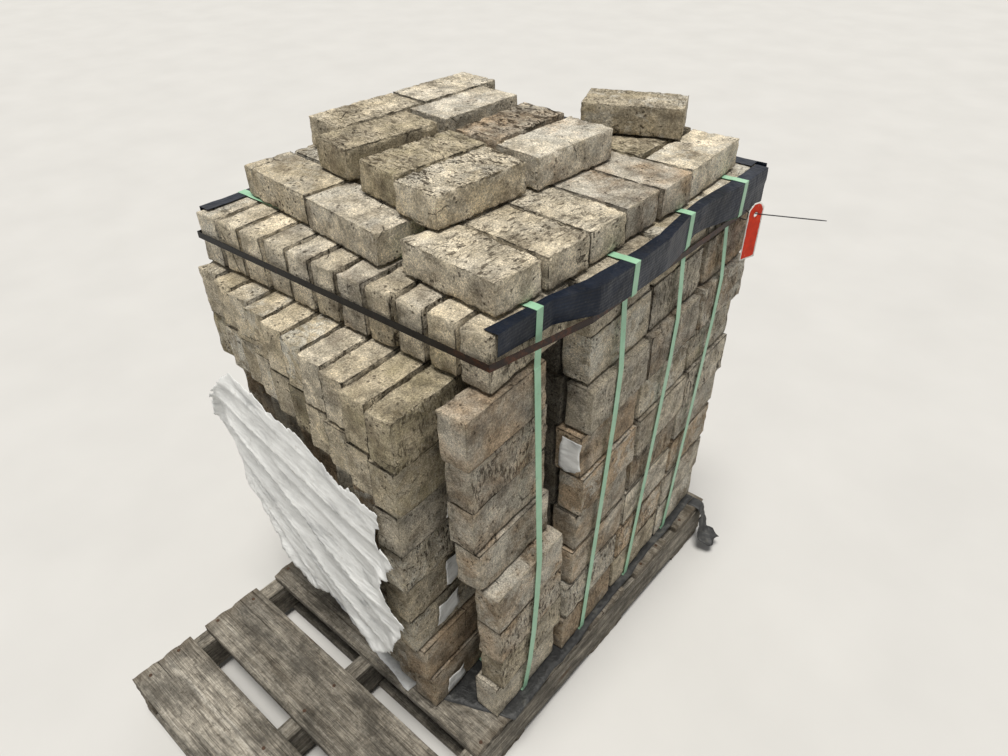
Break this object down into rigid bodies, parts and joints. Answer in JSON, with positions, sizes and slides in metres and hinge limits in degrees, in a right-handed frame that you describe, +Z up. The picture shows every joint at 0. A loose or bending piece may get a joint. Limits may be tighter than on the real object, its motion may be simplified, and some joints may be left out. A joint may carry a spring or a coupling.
{
  "type": "pallet of bricks",
  "caption": "Wooden pallet with tiers of weathered bricks on edge, held by plastic straps and a steel band, with loose bricks lying on top and torn film on one face.",
  "frame": {"origin": "centre of the bounding box's base, on the floor under the pallet", "axes": "+Z up, +Y along the pallet's stringers from the empty end of the deck to the loaded end, +X out of the strapped side that the picture shows; the bricks are turned 2.6 degrees on the pallet"},
  "size_m": [0.9364, 1.3102, 1.1613],
  "materials": {
    "brick": "matt, weathered, rough",
    "pallet_wood": "matt, weathered grey",
    "strap_plastic": "satin green",
    "band_steel": "matt black, partly rusty",
    "protector_plastic": "satin dark blue, finely ribbed",
    "film_plastic": "dusty white film",
    "slip_sheet_plastic": "matt black",
    "tag_card": "satin orange red with a white border",
    "tie_plastic": "satin black"
  },
  "bodies": {
    "root": {"bottom_board_1": "pallet_wood", "bottom_board_2": "pallet_wood", "bottom_board_3": "pallet_wood", "bottom_board_4": "pallet_wood", "brick_tier_1": "brick", "brick_tier_2": "brick", "brick_tier_3": "brick", "brick_tier_4": "brick", "brick_tier_5": "brick", "brick_tier_6": "brick", "brick_tier_7": "brick", "brick_tier_8": "brick", "brick_tier_9": "brick", "cable_tie": "tie_plastic", "deck_board_1": "pallet_wood", "deck_board_2": "pallet_wood", "deck_board_3": "pallet_wood", "deck_board_4": "pallet_wood", "deck_board_5": "pallet_wood", "deck_board_6": "pallet_wood", "deck_board_7": "pallet_wood", "edge_protector_left": "protector_plastic", "edge_protector_rear": "protector_plastic", "edge_protector_right": "protector_plastic", "film_scraps": "film_plastic", "film_sheet": "film_plastic", "film_tail": "film_plastic", "hidden_brick_core": "brick", "loose_bricks_lower": "brick", "loose_bricks_upper": "brick", "slip_sheet": "slip_sheet_plastic", "slip_sheet_flap": "slip_sheet_plastic", "steel_band": "band_steel", "strap_1": "strap_plastic", "strap_2": "strap_plastic", "strap_3": "strap_plastic", "strap_4": "strap_plastic", "stringer_left": "pallet_wood", "stringer_middle": "pallet_wood", "stringer_right": "pallet_wood", "tag": "tag_card"}
  },
  "joints": []
}
